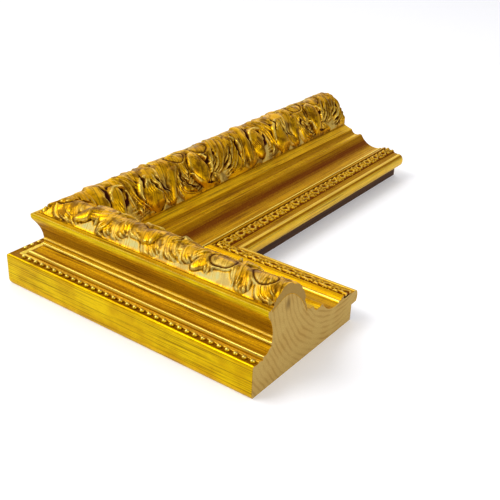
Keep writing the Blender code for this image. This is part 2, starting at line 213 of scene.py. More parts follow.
def gilding(name, leaf, deep, umber_wash_and_shade, glint, wash_and_shade, roughness, mottling):
    """Gold leaf rubbed thin over a warm ground and toned with a brown wash.

    The leaf gives the clear yellow shine and carries lengthwise brush lines, the ground warms it
    where it is thin, and the wash stays matt and dark in every hollow, where it also stands as painted
    shade; an amber film in shallow hollows is painted warm bounce light. The four colours are those of
    the leaf, its thin places, the wash with its painted shade, and the rubbed crests with their painted
    highlights. The two shares say how strongly the wash with painted shade and the patches show.
    """
    material, tree, shader = new_material(name)
    along, around, hollow, crown, ground = (
        add(tree, "ShaderNodeAttribute", attribute_name=value).outputs["Fac"]
        for value in ("along", "around", "hollow", "crown", "ground")
    )
    place = add(tree, "ShaderNodeTexCoord").outputs["Object"]

    # Brush lines 0.9 mm apart and 60 mm long, lengthwise
    run = add(tree, "ShaderNodeMath", {1: 1 / STROKE[0]}, {0: along}, operation="MULTIPLY").outputs[0]
    row = add(tree, "ShaderNodeMath", {1: 1 / STROKE[1]}, {0: around}, operation="MULTIPLY").outputs[0]
    stroke = add(tree, "ShaderNodeCombineXYZ", links={"X": run, "Y": row}).outputs[0]
    brush = add(tree, "ShaderNodeTexNoise", {"Scale": 1.0, "Detail": 5.0, "Roughness": 0.62},
                {"Vector": stroke}).outputs["Fac"]
    # Scuffs 0.8 mm across and 8 mm long, clouds 16 mm across, and specks 0.9 mm across
    finer = (STROKE[0] / SCUFF[0], STROKE[1] / SCUFF[1], 1.0)
    scuffed = add(tree, "ShaderNodeMapping", {"Scale": finer}, {"Vector": stroke}).outputs[0]
    scuff = add(tree, "ShaderNodeTexNoise", {"Scale": 1.0, "Detail": 4.0, "Roughness": 0.6},
                {"Vector": scuffed}).outputs["Fac"]
    cloud = add(tree, "ShaderNodeTexNoise", {"Scale": 1 / (16 * MM), "Detail": 3.0, "Roughness": 0.55},
                {"Vector": place}).outputs["Fac"]
    speck = add(tree, "ShaderNodeTexNoise", {"Scale": 1 / (0.9 * MM), "Detail": 5.0, "Roughness": 0.65},
                {"Vector": place}).outputs["Fac"]

    # How far each tone covers the leaf. In the hollows a thin amber film, painted warm bounce light, tints
    # it before a thick wash with painted shade darkens it
    thin = add(tree, "ShaderNodeMapRange", {"From Min": 0.42, "From Max": 0.66, "To Max": 0.50},
               {"Value": cloud}).outputs[0]
    amber_film_and_bounce = add(tree, "ShaderNodeMapRange", {"From Max": 0.25, "To Max": 0.62},
               {"Value": hollow}).outputs[0]
    streak = add(tree, "ShaderNodeMapRange", {"From Min": 0.50, "From Max": 0.62, "To Max": 0.80},
                 {"Value": brush}).outputs[0]
    worn = add(tree, "ShaderNodeMapRange", {"From Min": 0.56, "From Max": 0.72, "To Max": 0.45},
               {"Value": scuff}).outputs[0]
    # A chalky bloom, in patches 7 mm across, where the plain ground shows between the leaves
    patch = add(tree, "ShaderNodeTexNoise", {"Scale": 1 / (7 * MM), "Detail": 3.0, "Roughness": 0.6},
                {"Vector": place}).outputs["Fac"]
    streaky = add(tree, "ShaderNodeMath", links={0: patch, 1: brush}, operation="ADD").outputs[0]
    bloom = add(tree, "ShaderNodeMapRange",
                {"From Min": 0.90, "From Max": 1.06, "To Min": 1.0, "To Max": 0.40},
                {"Value": streaky}).outputs[0]
    chalk = add(tree, "ShaderNodeMath", links={0: bloom, 1: ground}, operation="MULTIPLY").outputs[0]
    mottle = add(tree, "ShaderNodeMapRange", {"From Min": 0.47, "From Max": 0.60, "To Max": mottling},
                 {"Value": patch}).outputs[0]
    uneven = add(tree, "ShaderNodeMath", {1: 0.5}, {0: speck}, operation="MULTIPLY").outputs[0]
    # Specks add to the hollows' wash, which is also painted shade
    stain_and_shade = add(tree, "ShaderNodeMath", links={0: hollow, 1: uneven}, operation="ADD").outputs[0]
    washed_and_shaded = add(tree, "ShaderNodeMapRange", {"From Min": 0.30, "From Max": 1.05, "To Max": wash_and_shade},
                 {"Value": stain_and_shade}).outputs[0]
    # Crests rubbed bright, painted here as highlights in the glint colour
    rubbed_and_highlit = add(tree, "ShaderNodeMath", links={0: crown, 1: speck}, operation="MULTIPLY").outputs[0]
    shine = add(tree, "ShaderNodeMapRange", {"From Min": 0.15, "From Max": 0.62, "To Max": 0.75},
                {"Value": rubbed_and_highlit}).outputs[0]

    # The tones lie over one another, the rubbed crests with their painted highlights last
    toned = add(tree, "ShaderNodeMix", {"A": linear(leaf), "B": linear(deep)}, {"Factor": thin},
                data_type="RGBA")
    for tone, cover in (
        (AMBER, amber_film_and_bounce),
        (STREAK, streak),
        (deep, worn),
        (MOTTLE, mottle),
        (CHALK, chalk),
        (umber_wash_and_shade, washed_and_shaded),
        (glint, shine),
    ):
        toned = add(tree, "ShaderNodeMix", {"B": linear(tone)},
                    {"A": toned.outputs["Result"], "Factor": cover}, data_type="RGBA")
    tree.links.new(toned.outputs["Result"], shader.inputs["Base Color"])

    # Clear leaf is bright metal, and wash with its painted shade and chalk are dull
    dull = add(tree, "ShaderNodeMath", links={0: washed_and_shaded, 1: chalk}, operation="MAXIMUM").outputs[0]
    metal = add(tree, "ShaderNodeMapRange", {"To Min": 0.92, "To Max": 0.15}, {"Value": dull}).outputs[0]
    tree.links.new(metal, shader.inputs["Metallic"])
    matt = add(tree, "ShaderNodeMath", {1: 0.30, 2: roughness}, {0: dull},
               operation="MULTIPLY_ADD").outputs[0]
    gloss = add(tree, "ShaderNodeMath", {1: 0.24, 2: -0.12}, {0: brush},
                operation="MULTIPLY_ADD").outputs[0]
    patchy = add(tree, "ShaderNodeMath", links={0: matt, 1: gloss}, operation="ADD").outputs[0]
    tree.links.new(patchy, shader.inputs["Roughness"])

    # The wash is matt, so that it darkens without greying
    shader.inputs["Specular IOR Level"].default_value = 0.1

    # Brush lines 0.05 mm deep over grain 0.06 mm deep
    grain = add(tree, "ShaderNodeBump", {"Strength": 0.7, "Distance": 0.06 * MM}, {"Height": speck})
    marks = add(tree, "ShaderNodeBump", {"Strength": 0.8, "Distance": 0.05 * MM},
                {"Height": brush, "Normal": grain.outputs[0]})
    tree.links.new(marks.outputs[0], shader.inputs["Normal"])
    return material


def sawn_pine(name, axis, mark):
    """Pine sawn across: growth rings with soft pale early wood and narrow brown late wood.

    axis is 0 where the stick runs along X and 1 where it runs along Y. mark is the place (u, z)
    of a dark spot of resin.
    """
    material, tree, shader = new_material(name)
    place = add(tree, "ShaderNodeTexCoord").outputs["Object"]
    parts = add(tree, "ShaderNodeSeparateXYZ", links={"Vector": place}).outputs
    inward = parts["Y"] if axis == 0 else parts["X"]
    edge = CORNER[1] if axis == 0 else CORNER[0]
    # The tree's heart lies above the inner end of the scoop
    u = add(tree, "ShaderNodeMath", {1: edge + HEART[0]}, {0: inward}, operation="SUBTRACT").outputs[0]
    z = add(tree, "ShaderNodeMath", {1: HEART[1]}, {0: parts["Z"]}, operation="SUBTRACT").outputs[0]
    spot = add(tree, "ShaderNodeCombineXYZ", links={"X": u, "Y": z}).outputs[0]
    # Rings RING_PITCH apart, a little wavy
    rings = add(tree, "ShaderNodeTexWave", {"Scale": 2 * math.pi / (20 * RING_PITCH), "Distortion": 3.2,
                "Detail": 2.0, "Detail Scale": 0.8}, {"Vector": spot}, wave_type="RINGS",
                rings_direction="SPHERICAL", wave_profile="SIN").outputs["Fac"]
    fibre = add(tree, "ShaderNodeTexNoise", {"Scale": 1 / (0.5 * MM), "Detail": 4.0, "Roughness": 0.6},
                {"Vector": place}).outputs["Fac"]
    patch = add(tree, "ShaderNodeTexNoise", {"Scale": 1 / (14 * MM), "Detail": 2.0},
                {"Vector": place}).outputs["Fac"]
    strength = add(tree, "ShaderNodeMapRange",
                   {"From Min": 0.38, "From Max": 0.62, "To Min": 0.10, "To Max": 0.75},
                   {"Value": patch}).outputs[0]
    line = add(tree, "ShaderNodeMapRange", {"From Min": 0.50, "From Max": 1.0}, {"Value": rings}).outputs[0]
    late = add(tree, "ShaderNodeMath", links={0: line, 1: strength}, operation="MULTIPLY").outputs[0]
    fuzz = add(tree, "ShaderNodeMapRange", {"From Min": 0.38, "From Max": 0.66, "To Max": 0.55},
               {"Value": fibre}).outputs[0]
    tint = add(tree, "ShaderNodeMapRange", {"From Min": 0.40, "From Max": 0.68, "To Max": 0.30},
               {"Value": patch}).outputs[0]
    # A dark resin mark about 5 mm wide and 9 mm high
    resin_place = (mark[0] - HEART[0], mark[1] - HEART[1], 0.0)
    off = add(tree, "ShaderNodeVectorMath", {1: resin_place}, {0: spot}, operation="SUBTRACT").outputs[0]
    slim = add(tree, "ShaderNodeVectorMath", {1: (1 / (2.6 * MM), 1 / (4.6 * MM), 0.0)}, {0: off},
               operation="MULTIPLY").outputs[0]
    away = add(tree, "ShaderNodeVectorMath", links={0: slim}, operation="LENGTH").outputs["Value"]
    ragged = add(tree, "ShaderNodeMath", {1: 1.6}, {0: fibre, 2: away},
                 operation="MULTIPLY_ADD").outputs[0]
    resin = add(tree, "ShaderNodeMapRange",
                {"From Min": 1.1, "From Max": 1.9, "To Min": 0.55, "To Max": 0.0},
                {"Value": ragged}).outputs[0]

    # Pale early wood under late wood, torn fibres, a warm tint and the resin
    toned = add(tree, "ShaderNodeMix", {"A": linear("#C2A664"), "B": linear("#9A7C42")}, {"Factor": late},
                data_type="RGBA")
    for tone, cover in (("#96743A", fuzz), ("#B28C48", tint), ("#5E4A2A", resin)):
        toned = add(tree, "ShaderNodeMix", {"B": linear(tone)},
                    {"A": toned.outputs["Result"], "Factor": cover}, data_type="RGBA")
    tree.links.new(toned.outputs["Result"], shader.inputs["Base Color"])
    shader.inputs["Roughness"].default_value = 0.85
    shader.inputs["Specular IOR Level"].default_value = 0.2
    bump = add(tree, "ShaderNodeBump", {"Strength": 0.5, "Distance": 0.12 * MM}, {"Height": fibre})
    tree.links.new(bump.outputs[0], shader.inputs["Normal"])
    return material


def planed_pine():
    """Bare pine planed along the grain: the back and the rabbet, toned dark brown, partly a thin stain and
    partly painted shade for the shadowed rabbet.
    """
    material, tree, shader = new_material("planed pine with stain and painted shade")
    along = add(tree, "ShaderNodeAttribute", attribute_name="along").outputs["Fac"]
    around = add(tree, "ShaderNodeAttribute", attribute_name="around").outputs["Fac"]
    # Grain lines 3 mm apart that wander along the stick
    run = add(tree, "ShaderNodeMath", {1: 1 / (90 * MM)}, {0: along}, operation="MULTIPLY").outputs[0]
    row = add(tree, "ShaderNodeMath", {1: 1 / (3 * MM)}, {0: around}, operation="MULTIPLY").outputs[0]
    spot = add(tree, "ShaderNodeCombineXYZ", links={"X": run, "Y": row}).outputs[0]
    grain = add(tree, "ShaderNodeTexNoise",
                {"Scale": 1.0, "Detail": 5.0, "Roughness": 0.55, "Distortion": 0.6},
                {"Vector": spot}).outputs["Fac"]
    lines = add(tree, "ShaderNodeMapRange", {"From Min": 0.35, "From Max": 0.65},
                {"Value": grain}).outputs[0]
    # Dark browns: stain, and painted shade for the rabbet
    wood = add(tree, "ShaderNodeMix", {"A": linear("#5A3A1C"), "B": linear("#3A2210")}, {"Factor": lines},
               data_type="RGBA")
    tree.links.new(wood.outputs["Result"], shader.inputs["Base Color"])
    shader.inputs["Roughness"].default_value = 0.72
    bump = add(tree, "ShaderNodeBump", {"Strength": 0.4, "Distance": 0.12 * MM}, {"Height": grain})
    tree.links.new(bump.outputs[0], shader.inputs["Normal"])
    return material


def composition():
    """Cast composition cut through: a close olive brown paste with fine pores."""
    material, tree, shader = new_material("cut composition")
    place = add(tree, "ShaderNodeTexCoord").outputs["Object"]
    pores = add(tree, "ShaderNodeTexNoise", {"Scale": 1 / (0.8 * MM), "Detail": 3.0},
                {"Vector": place}).outputs["Fac"]
    tint = add(tree, "ShaderNodeMix", {"A": linear("#AA8A40"), "B": linear("#8E6E2C")}, {"Factor": pores},
               data_type="RGBA")
    tree.links.new(tint.outputs["Result"], shader.inputs["Base Color"])
    shader.inputs["Roughness"].default_value = 0.8
    bump = add(tree, "ShaderNodeBump", {"Strength": 0.3, "Distance": 0.1 * MM}, {"Height": pores})
    tree.links.new(bump.outputs[0], shader.inputs["Normal"])
    return material


def bend(start, end, sag, steps):
    """Points after start, up to end, on an arc that bulges by sag to the left of the way."""
    (u0, z0), (u1, z1) = start, end
    chord = math.hypot(u1 - u0, z1 - z0)
    radius = (chord * chord / 4 + sag * sag) / (2 * abs(sag))
    half_angle = math.asin(chord / 2 / radius)
    along = ((u1 - u0) / chord, (z1 - z0) / chord)
    left = (-along[1], along[0])
    side = math.copysign(1.0, sag)
    points = []
    for step in range(1, steps + 1):
        angle = half_angle * (2 * step / steps - 1)
        run = chord / 2 + radius * math.sin(angle)
        rise = side * radius * (math.cos(angle) - math.cos(half_angle))
        points.append((u0 + along[0] * run + left[0] * rise, z0 + along[1] * run + left[1] * rise))
    return points


def bezier(a, b, c, d, t):
    """The point at t on a cubic curve with the control points a, b, c and d."""
    s = 1 - t
    shares = (s**3, 3 * s * s * t, 3 * s * t * t, t**3)
    return tuple(sum(share * value for share, value in zip(shares, axis)) for axis in zip(a, b, c, d))


def arch_line(count):
    """Points evenly spaced over the arch from its outer foot to its inner foot, in mm."""
    outer = (ARCH_FOOT, (20.5, 52.9), (25.0, 57.1), ARCH_CROWN)
    inner = (ARCH_CROWN, (37.5, 57.1), (45.6, 45.5), ARCH_HEEL)
    fine = 60
    dense = [bezier(*outer, i / fine) for i in range(fine)]
    dense += [bezier(*inner, i / fine) for i in range(fine + 1)]
    dense = np.array(dense)
    lengths = np.concatenate([[0.0], np.cumsum(np.hypot(*np.diff(dense, axis=0).T))])
    wanted = np.linspace(0.0, lengths[-1], count)
    return np.stack([np.interp(wanted, lengths, dense[:, 0]), np.interp(wanted, lengths, dense[:, 1])], 1)


ARCH = arch_line(ARCH_POINTS)
ARCH_LENGTH = float(np.sum(np.hypot(*np.diff(ARCH, axis=0).T)))


def core_height(u):
    """Height in mm of the underside of the cast layer at u."""
    ground = float(np.interp(u, ARCH[:, 0], ARCH[:, 1]))
    across = (u - ARCH_FOOT[0]) / (ARCH_HEEL[0] - ARCH_FOOT[0])
    return ground - LAYER_EDGE - LAYER_SWELL * math.sin(math.pi * min(max(across, 0.0), 1.0))


def core_line(first, last, drop, steps):
    """Points of the wooden arch from u first to u last, lowered by drop, in mm."""
    us = np.linspace(first, last, steps + 1)
    return [(float(u), core_height(u) - drop) for u in us]


def moulding_outline():
    """The rail's cross section from the back's outer edge round to the rabbet.

    It comes as stretches of points (u, z) in mm, each with the share of brown wash and painted
    shade on it and how far its leaf is rubbed bright and painted with a highlight.
    """
    width = PROFILE_WIDTH / MM
    wall = width - RABBET_WIDTH / MM
    shelf = RABBET_DEPTH / MM
    cove = bend((16.9, 32.0), (12.7, 44.6), -1.0, 16)
    scoop = bend((68.4, 27.7), (86.2, 20.0), -3.0, 22)
    return (
        # back edge and plain outer face
        (0.08, 0.0, [(1.1, 0.0)] + bend((1.1, 0.0), (0.0, 3.3), 0.3, 5)),
        (0.00, 0.0, [(0.0, 5.0), (0.0, 11.0), (0.0, 18.0)]),
        (0.08, 0.0, [(0.0, 19.6)] + bend((0.0, 19.6), (1.4, 21.2), 0.45, 6)),
        # channel that holds the beads, its inner lip and groove, with painted shade in the channel and
        # groove and a painted highlight on the lip
        (0.60, 0.0, [(1.75, 20.75), (5.3, 20.75)]),
        (0.00, 0.7, [(5.75, 21.25), (6.1, 21.25), (7.2, 20.95), (8.3, 20.75)]),
        (0.60, 0.0, [(8.7, 20.4), (8.9, 20.6)]),
        # small cyma and the flat above it, with painted shade on its slopes and painted highlights on its
        # nose and fillets
        (0.00, 0.9, [(9.4, 22.2)] + bend((9.4, 22.2), (10.3, 22.65), 0.2, 4)),
        (0.50, 0.0, bend((10.7, 22.55), (13.4, 23.5), -0.35, 6)),
        (0.42, 0.0, bend((13.4, 23.5), (17.2, 26.0), 0.35, 6)),
        (0.00, 0.9, bend((17.2, 26.0), (17.0, 27.9), 0.95, 8)),
        (0.00, 0.6, [(16.9, 28.3), (16.85, 29.0)]),
        (0.45, 0.0, [(16.8, 29.6), (16.8, 30.4)]),
        (0.05, 0.8, [(16.5, 30.9), (16.5, 31.2), (17.05, 31.5)]),
        # deep cove, with painted shade darkening its foot
        (0.05, 0.8, [(16.95, 32.0)]),
        (0.55, 0.0, cove[:8]),
        (0.45, 0.0, cove[8:12]),
        (0.10, 0.0, cove[12:]),
        (0.00, 0.3, bend((12.7, 44.6), (12.0, 48.4), 0.35, 8)),
        # top fillet and the groove beside the leaves
        (0.00, 0.5, [(12.2, 48.75), (13.1, 48.85)]),
        (0.20, 0.0, [(13.35, 48.6), (13.6, 48.6), (13.9, 49.15), ARCH_FOOT]),
        (0.50, 0.0, core_line(ARCH_FOOT[0], ARCH_HEEL[0], BED_GAP, CORE_STEPS) + [ARCH_HEEL]),
        # plain band inside the leaves, its step and the fillet at the scoop's head
        (0.18, 0.1, bend(ARCH_HEEL, (58.1, 30.8), -0.3, 6)),
        (0.50, 0.0, bend((58.1, 30.8), (61.6, 27.3), -0.7, 8)),
        (0.10, 0.2, [(62.3, 27.3), (65.0, 27.4)]),
        (0.40, 0.0, bend((65.0, 27.4), (68.4, 27.7), 0.75, 8)),
        # wide scoop, with painted shade darkest a third of the way down
        (0.56, 0.0, scoop[:3]),
        (0.68, 0.0, scoop[3:5]),
        (0.80, 0.0, scoop[5:9]),
        (0.70, 0.0, scoop[9:11]),
        (0.57, 0.0, scoop[11:13]),
        (0.45, 0.0, scoop[13:16]),
        (0.33, 0.0, scoop[16:]),
        (0.00, 0.8, [(86.9, 20.65), (87.2, 20.85), (87.9, 20.9), (88.2, 20.8)]),
        (0.85, 0.0, [(88.5, 20.4)]),
        # slope up to the lace and the sunk ground under it, dark with painted shade
        (0.25, 0.2, [(88.9, 20.75)] + bend((88.9, 20.75), (92.2, 22.5), 0.2, 5)),
        (0.60, 0.0, [(92.6, 22.2), (92.8, 21.6)]),
        (0.85, 0.0, [(92.9, LACE_GROUND[0]), (101.2, LACE_GROUND[1])]),
        # groove, sight fillet and its groove, and the lip, with painted shade in the grooves and painted
        # highlights on the fillet and lip
        (0.40, 0.1, [(101.4, 20.3), (101.7, 20.2)]),
        (0.50, 0.0, [(102.0, 19.9), (105.0, 19.5)]),
        (0.15, 0.6, [(105.4, 19.8), (106.4, 19.75), (107.6, 19.45)]),
        (0.60, 0.0, [(107.9, 19.2), (108.2, 18.75), (108.6, 18.7)]),
        (0.15, 0.5, bend((108.9, 18.6), (109.0, shelf), width - 108.95, 12)),
        (1.00, 0.0, [(106.0, shelf), (wall, shelf), (wall, 5.0), (wall, 0.0)]),
    )


def envelope_outline():
    """The space that the cast layer fills, in mm, open upward beyond any leaf."""
    gap = PIECE_GAP / MM
    first = ARCH_FOOT[0] + gap
    last = ARCH_HEEL[0] - gap
    return core_line(first, last, 0.0, CORE_STEPS) + [(last, ENVELOPE_TOP), (first, ENVELOPE_TOP)]


def along_spine(x, y, start, end, bow, steps=14):
    """Fraction along, and signed distance from, a bowed centre line for each place (x, y)."""
    start = np.array(start, float)
    end = np.array(end, float)
    run = end - start
    side = np.array([-run[1], run[0]]) / math.hypot(*run)
    middle = (start + end) / 2 + 2 * bow * side
    t = np.linspace(0.0, 1.0, steps + 1)[:, None]
    line = (1 - t) ** 2 * start + 2 * t * (1 - t) * middle + t**2 * end
    nearest = np.full(x.shape, np.inf)
    fraction = np.zeros(x.shape)
    offset = np.zeros(x.shape)
    for step in range(steps):
        (ax, ay), (bx, by) = line[step], line[step + 1]
        length_squared = (bx - ax) ** 2 + (by - ay) ** 2
        part = ((x - ax) * (bx - ax) + (y - ay) * (by - ay)) / length_squared
        low = -PAST_END if step == 0 else 0.0
        high = PAST_END if step == steps - 1 else 1.0
        part = np.clip(part, low, high)
        dx = x - ax - part * (bx - ax)
        dy = y - ay - part * (by - ay)
        distance = np.hypot(dx, dy)
        closer = distance < nearest
        turn = np.sign((bx - ax) * dy - (by - ay) * dx)
        nearest = np.where(closer, distance, nearest)
        fraction = np.where(closer, (step + part) / steps, fraction)
        offset = np.where(closer, distance * turn, offset)
    return fraction, offset


def dome(q):
    """A round profile: 1 in the middle, 0 where q reaches 1."""
    return np.sqrt(np.clip(1 - q * q, 0.0, 1.0))


def scatter(numbers, seed):
    """A fixed uneven value from 0 to 1 for each whole number."""
    return np.abs(np.sin(numbers * 12.99 + seed * 0.731) * 43.7) % 1.0


def plume(x, y, root, tip, bow, width, rise, flutes, lean=0.0):
    """A fluted leaf: it springs low from its root, swells, and parts into pointed tips."""
    t, d = along_spine(x, y, root, tip, bow)
    inside = np.clip(t, 0.0, 1.0)
    half = width / 2 * (0.25 + 0.75 * np.sin(math.pi * (0.05 + 0.72 * inside)) ** 1.3)
    v = d / half
    phase = (v + 1) / 2 * flutes + 0.30 * np.sin(5.0 * inside + root[0]) + 0.22 * np.sin(9.0 * v + tip[0])
    ridge = np.abs(np.sin(math.pi * phase)) ** 0.8
    finger = np.floor(phase)
    reach = 1.04 - 0.20 * v * v - 0.12 * scatter(finger, root[0] + tip[1])
    tips = np.clip((ridge - (t - reach + 0.26) / 0.26) / 0.5, 0.0, 1.0) ** 0.7
    starting = np.clip((t + 0.04) / 0.2, 0.0, 1.0)
    lift = 0.45 + 0.16 * np.cos(2 * math.pi * (inside - 0.15)) + 0.50 * inside**2
    high = 0.75 + 0.25 * scatter(finger, tip[0])
    deep = 0.60 + 0.14 * np.sin(4.0 * inside + 2.0 * root[1])
    body = dome(v) ** 0.6 * (1 + lean * v) / (1 + abs(lean))
    return rise * lift * body * (1 - deep * (1 - ridge)) * high * tips * starting


def band(x, y, start, end, bow, width, rise, lean=0.0):
    """A smooth stem or rolled leaf edge, pointed at both ends."""
    t, d = along_spine(x, y, start, end, bow)
    inside = np.clip(t, 0.0, 1.0)
    half = width / 2 * (0.25 + 0.75 * np.sin(math.pi * inside) ** 0.6)
    v = d / half
    ends = dome(np.clip((np.abs(t - 0.5) * 2 - 0.86) / 0.14, 0.0, 1.0))
    return rise * dome(v) ** 0.8 * (1 + lean * v) / (1 + abs(lean)) * ends


def shell(x, y, start, end, bow, width, rise, lines):
    """A hooded leaf seen from its back: a broad dome combed with fine lines that fan over it."""
    t, d = along_spine(x, y, start, end, bow)
    half = width / 2 * dome(np.clip(np.abs(t - 0.5) / 0.60, 0.0, 0.999))
    v = d / half
    fan = 0.5 * t * lines + 0.3 * lines * v + 1.6 * v * v + 0.5 * np.sin(6 * t)
    comb = np.abs(np.sin(math.pi * fan)) ** 0.6
    grooved = np.clip((v + 0.7) / 0.5, 0.0, 1.0) * np.clip(1.3 * np.sin(7 * t + start[0]), 0.0, 1.0)
    ends = np.clip((0.60 - np.abs(t - 0.5)) / 0.04, 0.0, 1.0)
    return rise * dome(v) ** 0.7 * (1 - 0.14 * v) * (1 - 0.24 * grooved * (1 - comb)) * ends


def scroll(x, y, centre, radii, rim, rise, start):
    """A leaf tip rolled into an oval: its height, and how far the line cut inside its edge is open."""
    dx = (x - centre[0]) / radii[0]
    dy = (y - centre[1]) / radii[1]
    reach = np.hypot(dx, dy) + 0.12 * np.sin(np.arctan2(dy, dx) - start)
    edge = dome((reach - 0.95) * min(radii) / rim)
    body = 0.70 * dome(reach / 0.74) ** 0.6
    line = 0.85 * np.exp(-(((reach - 0.80) * min(radii) / 0.6) ** 2))
    return rise * np.maximum(np.maximum(0.85 * edge, body), 0.1 * (reach < 1)), line


def cut(x, y, start, end, bow, width):
    """How far a deep cut is open at each place, from 0 to 1."""
    t, d = along_spine(x, y, start, end, bow, 6)
    uneven = 0.75 + 0.25 * np.sin(17 * t + start[0])
    half = width / 2 * uneven * (0.15 + 0.85 * np.sin(math.pi * np.clip(t, 0.0, 1.0)) ** 1.5)
    d = d + 0.35 * np.sin(11 * t + end[0])
    outside = np.clip(np.abs(t - 0.5) * 2 - 0.8, 0.0, 9.0) / 0.3
    return np.clip(1.1 * (1 - (d / half) ** 2 - outside**2), 0.0, 1.0)


# One repeat of the ornament, in mm (w, y)
# Fluted leaves: root, tip, bow, width, rise, flutes
PLUMES = (
    # long low leaves that run beneath the others
    ((150, 24), (122, 46), -4, 20, 1.9, 7),
    ((104, 24), (66, 42), -5, 22, 1.9, 8),
    ((206, 28), (162, 46), -5, 22, 1.9, 8),
    ((60, 30), (38, 48), -3, 16, 2.0, 6),
    ((200, 12), (168, 17), 4, 12, 1.8, 5),
    ((84, 14), (52, 18), 4, 12, 1.8, 5),
    # over the inner flank
    ((64, 9), (84, 48), -3, 19, 4.4, 6),
    ((88, 22), (75, 48), 3, 12, 3.8, 4),
    ((106, 11), (84, 28), 4, 16, 3.8, 5),
    ((121, 15), (128, 40), 3, 13, 4.2, 5),
    ((114, 32), (131, 48), 4, 13, 4.0, 5),
    ((172, 9), (149, 39), -4, 18, 4.6, 6),
    ((193, 10), (164, 47), -6, 26, 5.0, 8),
    ((174, 35), (190, 48), 4, 13, 4.0, 4),
    ((58, 36), (46, 48), 3, 12, 3.6, 4),
    ((96, 36), (103, 48), -2, 10, 3.4, 3),
    ((150, 38), (157, 48), 2, 10, 3.2, 3),
    ((49, 12), (41, 36), 2, 11, 3.6, 4),
    # over the outer flank
    ((124, 23), (110, 3), 5, 15, 3.6, 6),
    ((112, 24), (104, 0), 5, 13, 3.4, 5),
    ((102, 22), (95, 5), -3, 13, 3.5, 5),
    ((94, 25), (86, 2), -4, 14, 3.6, 6),
    ((84, 23), (76, 0), 5, 13, 3.4, 5),
    ((75, 20), (65, 4), 4, 13, 3.3, 5),
    ((65, 24), (55, 7), 4, 12, 3.2, 5),
    ((202, 23), (193, 1), 5, 14, 3.4, 6),
    ((190, 22), (178, 4), 5, 14, 3.5, 6),
    ((178, 20), (169, 6), 3, 12, 3.2, 5),
    ((166, 21), (160, 3), -3, 10, 3.0, 5),
    ((146, 22), (139, 1), -3, 12, 3.3, 5),
    ((137, 17), (129, 2), 3, 12, 3.2, 5),
)
# Smooth stems and rolled edges: start, end, bow, width, rise, lean
BANDS = (
    ((203, 7), (194, 49), -3, 13, 3.8, 0.45),
    ((119, 23), (106, 47), 4, 8, 2.6, -0.3),
    ((131, 34), (155, 47), 6, 4.5, 3.6, 0.0),
    ((109, 4), (103, 16), 3, 8, 3.4, 0.3),
    ((168, 5), (164, 17), 3, 8, 2.0, 0.3),
    ((53, 7), (50, 20), -2, 10, 3.2, 0.3),
    ((93, 22), (79, 38), 5, 4.5, 4.0, 0.0),
    ((51, 30), (68, 25), -5, 3.5, 4.2, 0.0),
    ((147, 24), (146, 38), -5, 3.5, 3.8, 0.0),
    ((184, 20), (187, 34), -3, 3.5, 4.2, 0.0),
)
# Hooded leaves: start, end, bow, width, rise, lines
SHELLS = (
    ((60, 22), (57, 43), 2, 14, 3.4, 12),
    ((99, 20), (88, 46), 4, 19, 3.8, 14),
    ((138, 22), (139, 41), -2, 16, 3.4, 12),
)
# Scrolls: centre, radii, rim, rise, start angle
SCROLLS = (
    ((152, 17.5), (10.4, 7.6), 0.8, 1.4, 0.6),
    ((126, 17.5), (9.8, 7.4), 0.8, 1.4, 0.6),
)
# Deep cuts: start, end, bow, width
CUTS = (
    ((55, 15), (48, 35), -1, 4.4),
    ((69, 28), (61, 40), -1, 7.4),
    ((88, 19), (84, 30), -1, 4.4),
    ((98, 24), (104, 39), 3, 5.4),
    ((93, 26), (97, 38), 2, 3.0),
    ((131, 24), (128, 38), 0, 2.8),
    ((121, 26), (118, 38), 0, 3.4),
    ((155, 23), (147, 35), 0, 4.0),
    ((189, 18), (188, 42), 2, 3.6),
    ((133, 45), (123, 39), 0, 3.0),
    ((163, 22), (160, 32), 1, 2.6),
    ((178, 24), (170, 42), -2, 2.2),
)


def near(x, y, start, end, reach):
    """Which places are close enough to a stroke to be shaped by it."""
    middle = np.add(start, end) / 2
    span = np.abs(np.subtract(end, start)) / 2 + reach
    return (np.abs(x - middle[0]) < span[0]) & (np.abs(y - middle[1]) < span[1])


def relief_height(w, y):
    """Height in mm of the carving at each place (w, y) in mm, and how far a cut is open there."""
    height = np.zeros(w.shape)
    opened = np.zeros(w.shape)
    edge_y = y
    wander_w = sum(reach * np.sin(a * w + b * y) for reach, a, b in WANDER_W)
    wander_y = sum(reach * np.sin(a * w + b * y) for reach, a, b in WANDER_Y)
    w, y = w + wander_w, y + wander_y
    first = math.floor(w.min() / REPEAT) - 2
    last = math.ceil(w.max() / REPEAT) + 1
    for turn in range(first, last + 1):
        x = w - turn * REPEAT
        for form, table in ((plume, PLUMES), (band, BANDS), (shell, SHELLS)):
            for start, end, bow, width, *rest in table:
                here = near(x, y, start, end, width * 0.8 + abs(bow) * 2)
                if here.any():
                    raised = form(x[here], y[here], start, end, bow, width, *rest)
                    height[here] = np.maximum(height[here], raised)
        for centre, radii, *rest in SCROLLS:
            here = near(x, y, centre, centre, 1.4 * max(radii))
            if here.any():
                raised, line = scroll(x[here], y[here], centre, radii, *rest)
                height[here] = np.maximum(height[here], raised)
                opened[here] = np.maximum(opened[here], line)
        for start, end, bow, width in CUTS:
            here = near(x, y, start, end, width + abs(bow) * 2)
            if here.any():
                opened[here] = np.maximum(opened[here], cut(x[here], y[here], start, end, bow, width))
    crown = np.exp(-(((y - CROWN_Y) / CROWN_SPREAD) ** 2))
    height = height * (1 - CUT_DEPTH * opened) * (1 - CROWN_EASE * crown)
    outer, inner = RUN_OUT
    height *= np.clip(edge_y / outer, 0.0, 1.0) * np.clip((ARCH_LENGTH - edge_y) / inner, 0.0, 1.0)
    return height, opened


